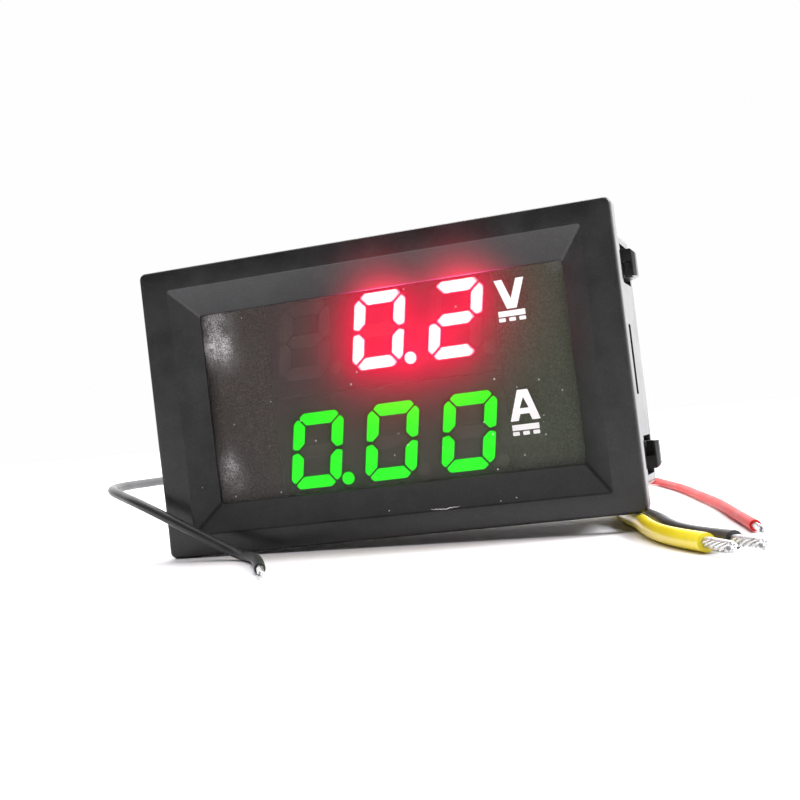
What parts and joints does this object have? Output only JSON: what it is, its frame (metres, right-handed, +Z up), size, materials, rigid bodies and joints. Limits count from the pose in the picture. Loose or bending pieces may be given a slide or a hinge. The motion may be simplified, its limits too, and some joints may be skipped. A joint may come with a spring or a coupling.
{
  "type": "digital panel meter",
  "caption": "Snap-in rectangular panel meter that shows volts in red over amps in green, with a tinted window, a board with two calibration trimmers, and plug-in supply and current leads.",
  "frame": {"origin": "centre of the panel cut-out, in the plane where the bezel seats on the panel's front", "axes": "+X right as seen from the front, +Y back through the panel, +Z up"},
  "size_m": [0.0716, 0.099, 0.0309],
  "materials": {
    "housing_black": "fine matt grain",
    "tinted_window": "smooth, faintly dusty",
    "display_grey": "matt",
    "segment_red_lit": "lit",
    "segment_red_dark": "unlit",
    "segment_green_lit": "lit",
    "segment_green_dark": "unlit",
    "tinned_metal": "tinned",
    "board_green": "solder mask",
    "chip_black": "moulded",
    "capacitor_tan": "ceramic",
    "shunt_wire": "drawn wire",
    "ceramic_white": "ceramic",
    "rotor_brass": "stamped",
    "nylon_white": "moulded nylon",
    "lead_red": "soft sheath",
    "lead_black": "soft sheath",
    "lead_yellow": "soft sheath"
  },
  "bodies": {
    "meter": {"housing": "housing_black", "display_window": "tinted_window", "volts_display_case": "display_grey", "volts_segments_lit": "segment_red_lit", "volts_segments_dark": "segment_red_dark", "volts_display_pins": "tinned_metal", "amps_display_case": "display_grey", "amps_segments_lit": "segment_green_lit", "amps_segments_dark": "segment_green_dark", "amps_display_pins": "tinned_metal", "main_board": "board_green", "controller_chip": "chip_black", "controller_leads": "tinned_metal", "amplifier_chip": "chip_black", "amplifier_leads": "tinned_metal", "regulator_chip": "chip_black", "regulator_leads": "tinned_metal", "protection_diode": "chip_black", "diode_leads": "tinned_metal", "chip_resistors": "chip_black", "chip_capacitors": "capacitor_tan", "chip_end_caps": "tinned_metal", "current_shunt": "shunt_wire", "volts_trimmer_base": "ceramic_white", "amps_trimmer_base": "ceramic_white", "supply_header": "nylon_white", "supply_pins": "tinned_metal", "supply_plug": "nylon_white", "supply_contacts": "tinned_metal", "current_header": "nylon_white", "current_pins": "tinned_metal", "current_plug": "nylon_white", "current_contacts": "tinned_metal", "red_supply_lead": "lead_red", "black_supply_lead": "lead_black", "yellow_current_lead": "lead_yellow", "black_current_lead": "lead_black", "red_supply_tip": "tinned_metal", "black_supply_tip": "tinned_metal", "yellow_current_tip": "tinned_metal", "black_current_tip": "tinned_metal"},
    "volts_rotor": {"volts_trimmer_rotor": "rotor_brass"},
    "amps_rotor": {"amps_trimmer_rotor": "rotor_brass"}
  },
  "joints": [
    {"name": "volts_trim", "type": "hinge", "parent": "meter", "child": "volts_rotor", "pos_m": [-0.017, 0.011, 0.0084], "axis": [0, -1, 0], "range_deg": [-130, 130]},
    {"name": "amps_trim", "type": "hinge", "parent": "meter", "child": "amps_rotor", "pos_m": [-0.017, 0.011, 0.0032], "axis": [0, -1, 0], "range_deg": [-130, 130]}
  ]
}
